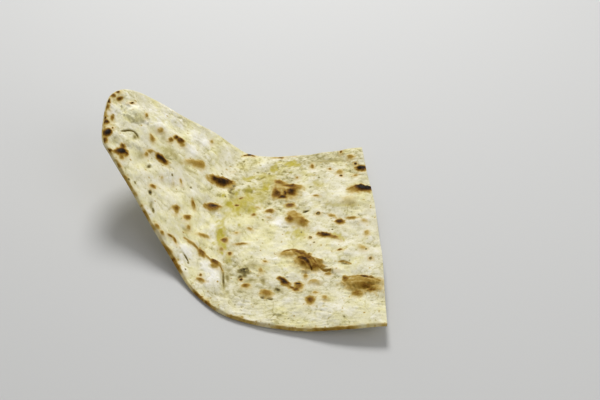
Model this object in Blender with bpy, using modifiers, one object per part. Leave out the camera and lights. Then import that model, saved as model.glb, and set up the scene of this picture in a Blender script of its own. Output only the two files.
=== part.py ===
"""Half of a long, hand-stretched naan bread, cut straight across with a knife.

The bread lies as it bent when it was served: flat along a valley, with a broad
wing rising on the left and a panel lifting slightly towards the cut on the right.
Toasted puffed places stand up from its upper face, and its natural edge is rounded.

Metres, +Z up.  The origin is on the table, under the middle of the bread's footprint.
+X runs across the valley to the cut side, and +Y along the valley to the back.
"""

import math

import bmesh
import bpy
import numpy as np

MM = 0.001

# The sheet of dough
THICKNESS = 3.3 * MM
RIM_THICKNESS = 1.7 * MM
RIM_WIDTH = 3.0 * MM
RIM_UNDERCUT = 0.8 * MM
MOST_THICKNESS = 8.0 * MM

# The outline in plan, in millimetres: the natural edge runs from the back end of
# the cut, round the tip of the wing, to the front end of the cut
NATURAL_EDGE = [
    (82, 67.5), (62, 66.5), (42, 64), (22, 62.5), (7, 64), (-5, 68.5), (-20, 72),
    (-40, 72), (-60, 72.5), (-74, 69.5), (-83, 62), (-87, 51), (-87, 28), (-81, 18),
    (-69, 2.5), (-55, -17), (-41, -36), (-27, -56), (-10, -72), (8, -80),
    (28, -85), (50, -88), (70, -89), (90, -88.5),
]
TIP_CORNER = 10
HEEL_CORNER = 18
CUT_BOW = 3.4
FOOTPRINT_CENTRE = (1.4, -8.2)

# The bends: distances are measured across the valley, to the left and to the right
VALLEY_TURN = math.radians(12)
VALLEY_SHIFT = 1.0 * MM
WING_START = 9.0 * MM
WING_BLEND = 18.0 * MM
WING_SLOPE = math.radians(34)
WING_TWIST = math.radians(90)  # more slope for each metre towards the back
PANEL_START = 26.0 * MM
PANEL_BLEND = 30.0 * MM
PANEL_SLOPE = math.radians(7)

# Slow waves over the wing and the panel, which leave the valley flat
WAVE_HEIGHT = 0.9 * MM
WAVE_LENGTH = 46.0 * MM
WAVE_SLANT = 0.4
WAVE_RISE = 22.0 * MM

# Puffed places in millimetres: x, y, half length, half width, turn in degrees, height
BLISTERS = [
    (-69, 54.5, 9, 8, 30, 2.2),
    (-74, 33, 11, 6, 10, 1.6),
    (-42, 51, 7, 5, -35, 1.2),
    (-14, 35, 11, 5, -15, 1.4),
    (-18.5, 10, 8, 5, -20, 1.3),
    (30, 29, 10, 7, 5, 1.4),
    (37, 1, 10, 5, -20, 1.1),
    (80, 27, 9, 4, 0, 1.0),
    (46, -36, 19, 9, -18, 2.4),
    (76, -55, 14, 8, -10, 1.6),
]

# The pillow: a puffed fold beside the valley, between a ridge and a sharp crease
CREASE_FOOT = (-9.5 * MM, -36.0 * MM)
RIDGE_TURN = math.radians(-36)
CREASE_WIDTH = 2.5 * MM
PILLOW_REACH = 24.0 * MM
PILLOW_HEIGHT = 3.0 * MM

# The mesh
CELLS_ACROSS = 46
CELLS_ALONG = 42
EDGE_CROWDING = 0.65
EDGE_STEPS = 12

BREAD_COLOUR = (0.80, 0.73, 0.53, 1.0)
BREAD_ROUGHNESS = 0.75


def clear_scene():
    for obj in list(bpy.data.objects):
        bpy.data.objects.remove(obj, do_unlink=True)


def smooth_step(value):
    """Zero below 0, one above 1, and a smooth rise between."""
    t = np.clip(value, 0.0, 1.0)
    return t * t * (3.0 - 2.0 * t)


def ramp(distance, blend):
    """Zero before the start, then a slope of one that is reached over the blend."""
    t = np.maximum(distance, 0.0)
    return np.where(t < blend, t * t / (2.0 * blend), t - blend / 2.0)


def smooth_curve(points, steps):
    """A dense line through the points (Catmull-Rom), with this many steps a span."""
    p = np.array(points, float)
    p = np.vstack([2 * p[0] - p[1], p, 2 * p[-1] - p[-2]])
    t = np.linspace(0.0, 1.0, steps, endpoint=False)[:, None]
    spans = []
    for a, b, c, d in zip(p, p[1:], p[2:], p[3:]):
        square = 2 * a - 5 * b + 4 * c - d
        cube = 3 * b - a - 3 * c + d
        spans.append(b + 0.5 * ((c - a) * t + square * t**2 + cube * t**3))
    return np.vstack(spans + [p[-2:-1]])


def along(line, share):
    """Points at these shares of the line's length."""
    length = np.hypot(*np.diff(line, axis=0).T)
    at = np.concatenate([[0.0], np.cumsum(length)]) / length.sum()
    return np.stack([np.interp(share, at, line[:, 0]), np.interp(share, at, line[:, 1])], -1)


def cut_line(front_end, back_end):
    """The knife's cut, bowed very slightly outwards."""
    share = np.linspace(0.0, 1.0, 4 * EDGE_STEPS)[:, None]
    run = back_end - front_end
    outward = np.array([run[1], -run[0]]) / np.linalg.norm(run)
    return front_end + run * share + outward * np.sin(math.pi * share) * CUT_BOW * MM


def sheet_plan(u, v, edge):
    """Coons patch: u runs from the left side to the cut, v from front to back."""
    tip = TIP_CORNER * EDGE_STEPS
    heel = HEEL_CORNER * EDGE_STEPS
    back = edge[: tip + 1][::-1]
    left = edge[tip : heel + 1][::-1]
    front = edge[heel:]
    cut = cut_line(front[-1], back[-1])
    a, b = u[:, None], v[:, None]
    between = (1 - b) * along(front, u) + b * along(back, u)
    across = (1 - a) * along(left, v) + a * along(cut, v)
    front_corners = (1 - b) * ((1 - a) * front[0] + a * front[-1])
    back_corners = b * ((1 - a) * back[0] + a * back[-1])
    return between + across - front_corners - back_corners


def edge_nearness(points, edge):
    """One on the natural edge, falling to zero across the rim."""
    nearest = np.full(len(points), np.inf)
    for start, end in zip(edge, edge[1:]):
        run = end - start
        share = np.clip((points - start) @ run / (run @ run), 0.0, 1.0)
        foot = start + share[:, None] * run
        nearest = np.minimum(nearest, np.hypot(*(points - foot).T))
    return np.clip(1.0 - nearest / RIM_WIDTH, 0.0, 1.0)


def bend_height(x, y):
    """The underside's height: zero along the valley, rising into wing and panel."""
    across = x * math.cos(VALLEY_TURN) - y * math.sin(VALLEY_TURN) + VALLEY_SHIFT
    run = x * math.sin(VALLEY_TURN) + y * math.cos(VALLEY_TURN)
    into_wing = -across - WING_START
    into_panel = across - PANEL_START
    wing = np.tan(WING_SLOPE + WING_TWIST * run) * ramp(into_wing, WING_BLEND)
    panel = math.tan(PANEL_SLOPE) * ramp(into_panel, PANEL_BLEND)
    wavy = smooth_step(into_wing / WAVE_RISE) + smooth_step(into_panel / WAVE_RISE - 0.7)
    waves = np.sin(2 * math.pi * (run + WAVE_SLANT * across) / WAVE_LENGTH)
    return wing + panel + WAVE_HEIGHT * wavy * waves


def pillow_height(x, y):
    """The puffed fold: full at its ridge and crease, fading away to the left."""
    dx = x - CREASE_FOOT[0]
    dy = y - CREASE_FOOT[1]
    below_ridge = dx * math.sin(RIDGE_TURN) - dy * math.cos(RIDGE_TURN)
    inside = smooth_step(-dx / CREASE_WIDTH) * smooth_step(below_ridge / CREASE_WIDTH)
    fade = 1.0 - smooth_step(np.hypot(dx, below_ridge) / PILLOW_REACH)
    return PILLOW_HEIGHT * inside * fade


def blister_height(x, y):
    """All the puffed places added up, each a smooth mound on an oval base."""
    height = np.zeros_like(x)
    for centre_x, centre_y, half_length, half_width, turn, top in BLISTERS:
        dx = x / MM - centre_x
        dy = y / MM - centre_y
        angle = math.radians(turn)
        p = (dx * math.cos(angle) + dy * math.sin(angle)) / half_length
        q = (dy * math.cos(angle) - dx * math.sin(angle)) / half_width
        height = height + top * MM * (1.0 - smooth_step(np.hypot(p, q)))
    return height


def bread_material():
    material = bpy.data.materials.new("baked naan")
    material.use_nodes = True
    shader = material.node_tree.nodes["Principled BSDF"]
    shader.inputs["Base Color"].default_value = BREAD_COLOUR
    shader.inputs["Roughness"].default_value = BREAD_ROUGHNESS
    shader.inputs["Metallic"].default_value = 0.0
    return material


def grid_mesh():
    """A square grid, with its lines crowded towards all four sides, as (mesh, u, v)."""
    mesh = bpy.data.meshes.new("naan")
    grid = bmesh.new()
    bmesh.ops.create_grid(grid, x_segments=CELLS_ACROSS, y_segments=CELLS_ALONG, size=0.5)
    grid.to_mesh(mesh)
    grid.free()
    places = np.empty(len(mesh.vertices) * 3)
    mesh.vertices.foreach_get("co", places)
    square = np.clip(places.reshape(-1, 3)[:, :2] + 0.5, 0.0, 1.0)
    crowded = square - EDGE_CROWDING * np.sin(2 * math.pi * square) / (2 * math.pi)
    return mesh, crowded[:, 0], crowded[:, 1]


def make_naan(collection):
    """A grid laid on the outline, bent to the underside, then thickened upwards."""
    mesh, u, v = grid_mesh()
    edge = smooth_curve(NATURAL_EDGE, EDGE_STEPS) * MM
    plan = sheet_plan(u, v, edge)
    x, y = plan.T
    near = edge_nearness(plan, edge)
    z = bend_height(x, y) + RIM_UNDERCUT * near**2
    centred = plan - np.array(FOOTPRINT_CENTRE) * MM
    mesh.vertices.foreach_set("co", np.column_stack([centred, z]).ravel())
    mesh.materials.append(bread_material())
    obj = bpy.data.objects.new("naan", mesh)
    collection.objects.link(obj)

    puffed = THICKNESS + blister_height(x, y) + pillow_height(x, y)
    thickness = RIM_THICKNESS + (puffed - RIM_THICKNESS) * np.sqrt(1.0 - near**2)
    group = obj.vertex_groups.new(name="thickness")
    for index, share in enumerate(thickness / MOST_THICKNESS):
        group.add([index], float(share), "REPLACE")

    solid = obj.modifiers.new("thickness of the bread", "SOLIDIFY")
    solid.thickness = MOST_THICKNESS
    solid.offset = 1.0
    solid.vertex_group = group.name
    solid.use_quality_normals = True
    return obj


def main():
    clear_scene()
    collection = bpy.data.collections.new("naan bread")
    bpy.context.scene.collection.children.link(collection)
    make_naan(collection)


main()
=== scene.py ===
"""A cut half of a naan bread on a pale table: bent sheet, toasted blisters, ghee and rim.

Shapes are worked out in millimetres, with +X across the valley to the cut side and
+Y along the valley to the back, and become metres when they are put into a mesh.
"""

import math

import bpy
import numpy as np
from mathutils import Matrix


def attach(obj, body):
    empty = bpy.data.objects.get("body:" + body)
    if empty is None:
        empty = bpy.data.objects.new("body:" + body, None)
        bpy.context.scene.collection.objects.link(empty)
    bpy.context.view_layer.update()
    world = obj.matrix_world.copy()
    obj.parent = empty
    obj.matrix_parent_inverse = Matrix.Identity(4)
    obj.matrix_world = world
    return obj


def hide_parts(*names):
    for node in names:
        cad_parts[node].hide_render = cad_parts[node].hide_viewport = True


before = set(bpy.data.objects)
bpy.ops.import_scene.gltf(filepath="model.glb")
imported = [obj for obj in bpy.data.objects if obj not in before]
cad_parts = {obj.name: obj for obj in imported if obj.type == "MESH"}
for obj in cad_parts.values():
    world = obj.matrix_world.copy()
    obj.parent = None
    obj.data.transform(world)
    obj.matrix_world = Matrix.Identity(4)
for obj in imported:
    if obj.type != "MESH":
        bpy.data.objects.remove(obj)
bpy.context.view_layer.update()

MM = 0.001
TAU = 2 * math.pi

# ---------------------------------------------------------------- the sheet of dough
THICKNESS = 3.3
RIM_THICKNESS = 1.7
RIM_WIDTH = 3.0
RIM_UNDERCUT = 0.8
RIM_BULGE = 0.6

# The natural edge in plan: from the back end of the cut, round the tip of the wing,
# to the front end of the cut
NATURAL_EDGE = [
    (82, 67.5), (62, 66.5), (42, 64), (22, 62.5), (7, 64), (-5, 68.5), (-20, 72),
    (-40, 72), (-60, 72.5), (-74, 69.5), (-83, 62), (-87, 51), (-87, 28), (-81, 18),
    (-69, 2.5), (-55, -17), (-41, -36), (-27, -56), (-10, -72), (8, -80),
    (28, -85), (50, -88), (70, -89), (90, -88.5),
]
EDGE_STEPS = 12
TIP_CORNER = 10
HEEL_CORNER = 18
CUT_BOW = 3.4
FOOTPRINT_CENTRE = np.array([1.4, -8.2])

# ---------------------------------------------------------------- bends and waves
VALLEY_TURN = math.radians(12)
VALLEY_SHIFT = 1.0
WING_START = 9.0
WING_BLEND = 18.0
WING_SLOPE = math.radians(34)
WING_TWIST = math.radians(0.09)  # more slope for each millimetre towards the back
PANEL_START = 26.0
PANEL_BLEND = 30.0
PANEL_SLOPE = math.radians(7)
WAVE_HEIGHT = 0.9
WAVE_LENGTH = 46.0
WAVE_SLANT = 0.4
WAVE_RISE = 22.0

# The pillow: a puffed fold beside the valley, between a ridge and a sharp crease
CREASE_FOOT = (-9.5, -36.0)
RIDGE_TURN = math.radians(-36)
CREASE_WIDTH = 1.4
PILLOW_REACH = 24.0
PILLOW_HEIGHT = 3.0

# Large puffed places: x, y, half length, half width, turn in degrees, height
BLISTERS = [
    (-69, 54.5, 9, 8, 30, 2.2),
    (-74, 33, 11, 6, 10, 1.6),
    (-42, 51, 7, 5, -35, 1.2),
    (-14, 35, 11, 5, -15, 1.4),
    (-18.5, 10, 8, 5, -20, 1.3),
    (30, 29, 10, 7, 5, 1.4),
    (37, 1, 10, 5, -20, 1.1),
    (80, 27, 9, 4, 0, 1.0),
    (46, -36, 19, 9, -18, 2.4),
    (76, -55, 14, 8, -10, 1.6),
]

# Toasted places: x, y, half length, half width, turn in degrees, darkness from 0 to 1
TOASTED = [
    # the rim of the wing's tip
    (-81.5, 63, 1.3, 0.8, 45, 0.85), (-84, 59.5, 1.6, 1.1, 50, 0.7),
    (-80.5, 59, 2.2, 1.2, 45, 0.8), (-87, 55, 2.1, 1.4, 64, 1.1), (-87.5, 48.5, 1.7, 1.0, 68, 0.4),
    (-76.5, 19, 2.0, 1.3, 76, 0.45), (-77, 12.5, 2.0, 1.2, -65, 0.45),
    (-82.5, 18.5, 1.4, 1.2, 46, 0.45), (-87, 50.5, 2.1, 1.2, 78, 0.55),
    (-84, 44.5, 2.1, 1.2, 76, 0.6), (-87, 39.5, 2.3, 1.4, 65, 0.8), (-86, 32, 3.1, 1.9, 62, 1.1),
    (-83.5, 37, 0.8, 0.5, 63, 0.8), (-86.5, 26, 2.7, 1.6, 80, 0.65),
    (-83, 20.5, 1.7, 1.0, 31, 0.8), (-77, 23, 3.8, 2.4, 49, 1.1), (-76.5, 27, 2.4, 1.5, 70, 0.65),
    (-74.5, 22.5, 2.5, 1.5, 75, 0.75), (-80, 21.5, 2.0, 1.2, 38, 0.65),
    (-88, 42, 1.5, 0.8, 73, 1.1), (-87.5, 35, 1.5, 0.8, 76, 0.25), (-87.5, 52, 1.2, 0.7, 69, 1.1),
    (-86, 49, 1.0, 0.7, 62, 0.25), (-83.5, 55.5, 0.8, 0.5, 42, 0.1),
    (-84.5, 39, 1.2, 0.7, 37, 0.2), (-73.5, 59.5, 1.3, 0.5, 33, 1.1),
    (-64.5, 56, 1.9, 0.9, 79, 0.45),
    # the wing
    (-55.5, 50.5, 2.4, 1.7, 59, 0.35), (-59.5, 43, 2.6, 1.6, -75, 0.45),
    (-49, 47, 2.1, 1.3, 74, 0.6), (-46, 51, 2.2, 1.4, 56, 0.85), (-43.5, 50, 2.7, 2.3, -89, 0.8),
    (-42, 47.5, 2.1, 1.3, 44, 0.35), (-60.5, 33.5, 2.5, 1.2, 30, 0.4),
    (-62.5, 30, 1.9, 1.1, 72, 0.45), (-53, 31.5, 4.5, 2.2, -29, 0.95),
    (-55, 33, 2.0, 1.7, -9, 0.1), (-57, 8, 2.1, 1.7, 53, 0.5), (-34.5, 39, 6.2, 2.2, 27, 0.3),
    (-31, 39.5, 4.2, 2.7, 44, 0.4), (-29, 40, 3.5, 1.8, -90, 0.4),
    (-23.5, 63.5, 1.8, 1.1, 71, 0.3), (-15.5, 34, 9.0, 3.7, 12, 0.9),
    (-11.5, 31, 6.2, 1.6, -2, 0.2), (-21, 33.5, 3.0, 1.6, 39, 0.8), (-42.5, -1, 2.8, 1.9, 58, 0.5),
    (-42, -3, 2.6, 1.4, 82, 0.4), (-32.5, 8, 3.4, 1.4, -79, 0.55), (-33, 8.5, 2.2, 0.8, -78, 0.1),
    (-33.5, -10.5, 1.6, 0.8, 85, 0.2), (-20, 12, 5.2, 2.7, 11, 0.85),
    (-19.5, 9.5, 4.1, 1.7, -3, 0.45), (-35.5, -4.5, 2.8, 1.7, 63, 0.6),
    (-34, -12, 2.2, 1.4, 85, 0.35), (-24.5, -14, 4.5, 1.8, 2, 0.4),
    (-24.5, -13, 3.3, 0.8, 1, 0.15), (-44, -21.5, 2.0, 0.9, -7, 0.6),
    (-41, -23.5, 2.2, 0.9, -64, 0.6), (-22.5, -49, 3.2, 1.5, -26, 0.55),
    (-23, -45, 1.0, 0.9, -30, 0.65), (-52.5, 17.5, 1.5, 0.8, 79, 0.2),
    (-40.5, 21.5, 2.0, 0.8, -77, 0.4), (-45, 18, 1.6, 1.0, 66, 0.1),
    (-62, -8.5, 1.2, 0.8, -82, 0.75), (-52, -18.5, 2.0, 1.4, -66, 0.5),
    (-49, -22, 1.7, 1.1, -64, 0.4), (-78.5, 15, 1.5, 1.0, -79, 0.2),
    # the ridge of the pillow
    (-32, -22, 2.2, 0.9, -14, 0.4), (-24, -28, 4.0, 2.3, -54, 0.65),
    (-23, -30, 2.3, 1.5, -42, 0.45), (-19, -32.5, 3.0, 0.9, -46, 0.25),
    (-14, -36.5, 4.2, 1.9, -53, 0.75), (-14.5, -39.5, 3.1, 1.7, -36, 0.4),
    (-27.5, -24.5, 2.2, 0.9, -41, 0.1), (-10.5, -40, 2.4, 0.8, -83, 0.25),
    # the valley
    (-9.5, -16, 2.5, 2.4, -37, 0.65), (-11, -24, 1.7, 1.6, -29, 0.35),
    (-5.5, -27.5, 2.0, 1.4, -85, 0.65), (1, -19, 4.0, 0.9, 0, 0.55),
    (-3, 15.5, 1.8, 0.9, -17, 0.8), (10.5, 13, 1.6, 0.8, 23, 0.3), (-0.5, 22, 1.6, 0.7, 15, 0.6),
    (6.5, -6, 1.8, 1.4, -30, 0.35), (-2, -10, 1.7, 1.1, -2, 0.3), (8.5, 6, 1.4, 1.2, -5, 0.55),
    (17, -34, 1.4, 1.2, -6, 0.5), (14.5, -41, 2.4, 1.5, -87, 0.3), (2.5, -48, 1.0, 0.9, -8, 1.1),
    (5.5, -53.5, 2.7, 2.1, -3, 0.55), (3.5, 63, 2.2, 1.2, -1, 1.1), (0.5, 62.5, 1.5, 0.9, 5, 0.7),
    (6.5, 62, 1.4, 0.9, -1, 0.65), (25.5, 60.5, 2.5, 0.9, 0, 0.75), (21, 60.5, 1.9, 0.8, 0, 0.3),
    (-7.5, 45.5, 1.2, 0.7, 14, 0.1),
    # the panel
    (30, 27.5, 9.7, 7.4, -21, 0.3), (33, 28.5, 5.8, 5.1, 21, 0.4), (24, 26, 4.6, 3.7, -76, 0.25),
    (37, 2, 9.2, 5.1, -48, 0.35), (24.5, 36, 3.0, 2.3, -1, 0.6), (27.5, 35, 2.8, 2.3, -26, 0.45),
    (33, 32, 5.6, 2.8, -9, 0.8), (38, 31, 3.8, 2.7, -10, 0.35), (22.5, 28.5, 3.0, 1.5, -86, 0.6),
    (24, 24.5, 3.4, 3.0, -13, 0.7), (29, 25, 2.6, 1.3, -89, 0.85), (27.5, 22, 3.5, 1.5, 0, 0.85),
    (33, 27, 3.5, 2.0, 9, 0.8), (33, 25.5, 3.8, 1.7, 4, 0.75), (21.5, 24.5, 3.0, 1.6, -88, 0.5),
    (32.5, 15, 3.5, 2.3, -2, 0.65), (19, 9.5, 3.0, 1.8, -9, 0.65), (18.5, 4, 2.4, 1.0, -8, 0.2),
    (32.5, 1.5, 3.2, 2.6, -44, 0.6), (37.5, 5, 3.4, 2.5, -62, 0.3), (41, -1.5, 3.9, 3.2, -73, 0.5),
    (43.5, -4, 1.9, 1.4, -84, 0.25), (35.5, 9, 2.0, 1.5, -4, 0.25), (51, 6.5, 1.4, 1.1, -2, 1.1),
    (50, 22.5, 2.2, 0.9, -6, 0.45), (60.5, 4.5, 3.4, 1.8, -32, 0.35),
    (65, -1.5, 3.1, 2.6, -16, 0.75), (73, 0.5, 4.2, 1.1, -10, 0.45),
    (81, -3.5, 2.2, 1.6, -17, 0.25), (55.5, -13.5, 5.1, 2.0, -21, 0.85),
    (61, -16.5, 4.1, 1.8, -27, 0.5), (51.5, -12, 2.0, 1.3, -67, 0.7),
    (81, 26.5, 6.3, 3.6, -11, 1.1), (76, 26, 5.8, 4.7, -16, 0.4), (84, 26, 3.7, 2.9, -14, 1.1),
    (81.5, 47, 3.9, 2.7, -18, 1.1), (77.5, 51.5, 1.1, 0.9, -69, 1.1),
    (74.5, 58, 2.5, 1.9, -26, 0.45), (68, 64, 1.6, 1.0, -84, 0.65),
    (34.5, 63.5, 1.0, 0.9, -2, 1.1), (66, 45, 2.5, 2.5, -7, 0.35),
    (59.5, 48.5, 1.2, 1.1, -89, 0.45), (67, 41, 1.1, 0.9, -3, 1.1), (77, 41.5, 1.4, 1.0, -11, 0.5),
    (47.5, 52, 2.2, 1.3, -89, 0.6), (37, 41.5, 1.0, 0.9, -3, 0.45), (46, -15, 1.2, 0.9, -77, 1.1),
    (82, -14, 2.8, 1.9, 88, 0.3), (71, 15.5, 5.3, 3.8, -18, 0.1),
    (64.5, -28.5, 1.6, 0.9, -10, 0.95), (78.5, -27.5, 3.3, 2.1, -44, 0.25),
    (83, -37, 1.0, 0.9, -15, 1.1), (48.5, -20, 0.9, 0.7, -25, 0.1),
    # the great blister
    (42.5, -36, 8.5, 5.5, -49, 0.5), (38, -37.5, 6.4, 3.1, -24, 0.1),
    (31, -28.5, 6.2, 3.1, -10, 0.3), (48, -40, 4.3, 3.6, -22, 0.5),
    (51.5, -38, 3.9, 2.9, -82, 0.5), (53.5, -40, 2.2, 1.8, -41, 0.45),
    (39, -28, 5.6, 2.4, -17, 0.7), (45, -32.5, 4.2, 2.4, -46, 0.5),
    (43.5, -35.5, 6.0, 4.9, -82, 0.75), (49.5, -39, 3.5, 1.7, -81, 0.35),
    (41.5, -34, 2.9, 2.0, -39, 0.85), (53, -41.5, 3.6, 1.5, -50, 0.1),
    (58.5, -43, 5.2, 2.1, -15, 0.1), (57, -45.5, 2.3, 1.3, -18, 0.4),
    # below it
    (29.5, -51, 5.3, 2.3, -45, 0.85), (38.5, -54.5, 3.7, 2.9, -77, 0.5),
    (38, -52, 2.3, 1.0, -18, 1.1), (34.5, -55.5, 2.3, 1.3, -37, 0.7),
    (37, -57.5, 2.1, 1.6, -18, 0.75), (42.5, -46.5, 2.5, 1.6, -89, 0.35),
    (18.5, -59, 4.2, 2.9, -20, 0.5), (45.5, -67, 3.3, 2.6, -74, 0.65),
    (48.5, -61.5, 1.8, 1.6, -20, 0.35), (54, -66.5, 1.9, 1.8, -56, 0.35),
    (47.5, -52.5, 4.4, 2.1, -11, 0.25), (67.5, -51.5, 3.0, 2.2, -80, 0.6),
    (77.5, -57.5, 12.9, 6.2, -13, 0.4), (75.5, -51.5, 6.0, 2.4, -16, 0.3),
    (80, -58.5, 5.4, 3.8, -17, 0.55), (87.5, -55.5, 4.0, 2.7, -21, 0.2),
    (79.5, -51.5, 4.0, 0.8, -18, 1), (70.5, -59, 3.7, 2.9, -42, 0.1), (74, -63, 3.7, 2.8, -4, 0.5),
    (82.5, -61, 3.0, 1.7, -5, 0.75),
]

# Ghee soaked into the crust, in the same order, with its strength
GHEE = [
    (-0.5, 17, 14.4, 9.5, 39, 0.75), (11, 24.5, 11.1, 6.7, 47, 0.5), (-3, 11.5, 6.0, 4.5, 19, 0.8),
    (-8, 16, 5.0, 4.6, -9, 0.95), (-12.5, 8.5, 7.9, 5.0, -86, 0.15),
    (17.5, 38.5, 10.4, 6.1, 42, 0.4), (5.5, 41.5, 6.2, 2.5, 18, 0.75),
    (4.5, 29.5, 4.4, 3.2, 19, 0.6), (20.5, 49.5, 5.1, 3.4, 56, 0.75),
    (33.5, 54.5, 5.8, 3.6, -10, 0.95), (15.5, 31, 3.9, 2.8, 76, 1),
    (51.5, 34.5, 4.9, 3.9, -46, 0.55), (44, 44.5, 7.7, 1.9, -14, 0.35),
    (38, -10, 6.8, 4.6, -22, 0.75), (-12.5, -12.5, 11.2, 4.3, -86, 1),
    (-11.5, -0.5, 7.0, 1.8, 89, 0.6), (-9, 7, 4.0, 2.4, -83, 0.5),
    (-10, -20.5, 4.6, 2.8, -85, 0.85), (12.5, 42.5, 4.6, 1.7, 43, 0.6),
    (18.5, -9, 5.8, 4.0, -1, 0.05), (55.5, 19, 5.6, 1.7, -17, 0.2), (65, 12.5, 8.1, 1.5, -16, 0.4),
    (-3, 52, 5.4, 2.5, 65, 0.05), (-6, -31, 5.8, 2.5, -86, 0.5), (31.5, 13.5, 5.6, 1.3, -8, 1),
    (8, 11.5, 5.9, 4.5, -3, 0.75), (16, 35.5, 5.5, 3.6, 55, 0.55), (26, 50, 5.5, 3.9, -1, 0.15),
    (62.5, -15.5, 4.6, 2.8, -24, 0.9),
]

# Pale places that stand up a little: partly floury white, partly painted highlight on the tops of puffs such as the
# bubble at the wing's tip
PALE = [
    (-73, 55, 4.2, 2.8, 79, 1.3), (-56.5, 53.5, 4.9, 2.3, 24, 1.2), (-36, 47.5, 5.9, 3.8, 86, 1.3),
    (-27, 60, 4.4, 2.4, 53, 1.3), (-51.5, 65.5, 5.2, 3.2, 16, 0.4),
    (-35.5, -26.5, 4.1, 3.3, -82, 1.1), (-15.5, 6, 3.1, 1.9, -4, 1.3),
    (13, 52.5, 4.9, 3.3, 19, 1.3), (25, 0.5, 4.8, 4.2, -86, 1.2), (65.5, 23, 7.2, 4.0, -12, 0.5),
    (53, -8, 5.8, 2.8, -14, 0.8), (26.5, -24, 5.8, 2.9, 5, 0.5), (31.5, -65.5, 4.4, 2.6, -8, 1.2),
    (75.5, -34, 6.2, 3.3, -16, 0.05), (-83, 51, 3.8, 2.1, 82, 0.9), (-60, 23.5, 2.5, 1.4, 47, 1.3),
    (-60.5, -19, 3.6, 2.7, -78, 0.4), (-15.5, -44.5, 7.3, 2.8, -64, 0.7),
    (-19.5, -40.5, 5.7, 2.5, -57, 1.3), (-72.5, 56, 3.9, 2.5, 72, 1.3),
    (-73, 53, 3.6, 2.8, 53, 1.3), (9, -19, 5.1, 2.6, -1, 0.5),
]

# Olive-grey places: painted shade in hollows, in creases and under puffs, and some grey-black smudges of the crust
SHADED = [
    (-71, 49.5, 3.0, 1.3, 25, 0.15), (-80, 31, 4.0, 2.6, 56, 0.3), (-70, 38, 3.3, 1.8, 66, 0.55),
    (4.5, -40.5, 2.7, 1.8, -2, 1.1), (2, -46.5, 1.9, 1.6, -7, 1.1),
    (16.5, -62.5, 2.1, 1.4, -18, 1.1), (-58, 3, 2.1, 1.2, 85, 1.1),
    (25.5, -56.5, 2.6, 1.4, -29, 0.9), (67.5, -38, 3.4, 1.4, -18, 1.1),
    (20.5, -63.5, 2.6, 1.1, -16, 1.1), (-46.5, 37.5, 6.6, 2.4, -35, 0.45),
    (-53, 46.5, 3.6, 1.6, 88, 0.35), (-65.5, 27.5, 4.1, 2.4, 61, 0.35),
    (-8.5, -47.5, 9.6, 1.0, -85, 0.85), (-6, -46.5, 6.4, 2.2, -87, 0.55),
    (-39.5, -9.5, 3.8, 2.4, 90, 0.2), (-22, -2, 3.8, 1.9, 4, 0.2), (4.5, 28.5, 4.1, 2.1, 16, 0.85),
    (13.5, 41, 4.5, 1.4, 42, 0.65), (-7, 23, 3.7, 3.1, -79, 0.5), (4, -42.5, 5.0, 4.4, -7, 0.85),
    (9, -37, 6.3, 3.3, 7, 0.45), (8.5, -49, 6.2, 3.2, 7, 0.5), (19.5, -10.5, 3.2, 1.7, 0, 0.1),
    (-5, -40.5, 2.5, 2.4, -31, 0.3), (60, 56.5, 18.1, 2.0, 2, 0.45),
    (75.5, 51, 6.3, 1.8, -14, 0.45), (69.5, 46.5, 11.3, 1.6, -12, 0.1),
    (57.5, 15, 9.5, 1.5, -13, 0.35), (72, 15, 5.9, 4.0, -15, 0.2),
    (-56.5, -5.5, 3.6, 1.4, -88, 0.55), (-55, -8.5, 1.8, 0.8, -80, 1.1),
    (-60.5, 21.5, 2.1, 1.2, 63, 0.85), (43, 9.5, 2.9, 1.2, 33, 1.1),
    (26, -57.5, 5.2, 2.3, -23, 0.5), (62, -37.5, 1.8, 0.9, -9, 0.25),
    (-36.5, 31.5, 5.5, 1.7, -9, 0.45), (-7, 32, 7.3, 2.3, 77, 1.1), (84, 6.5, 7.0, 3.2, -90, 0.15),
    (16, -49, 4.8, 3.1, -87, 0.55),
]
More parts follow.
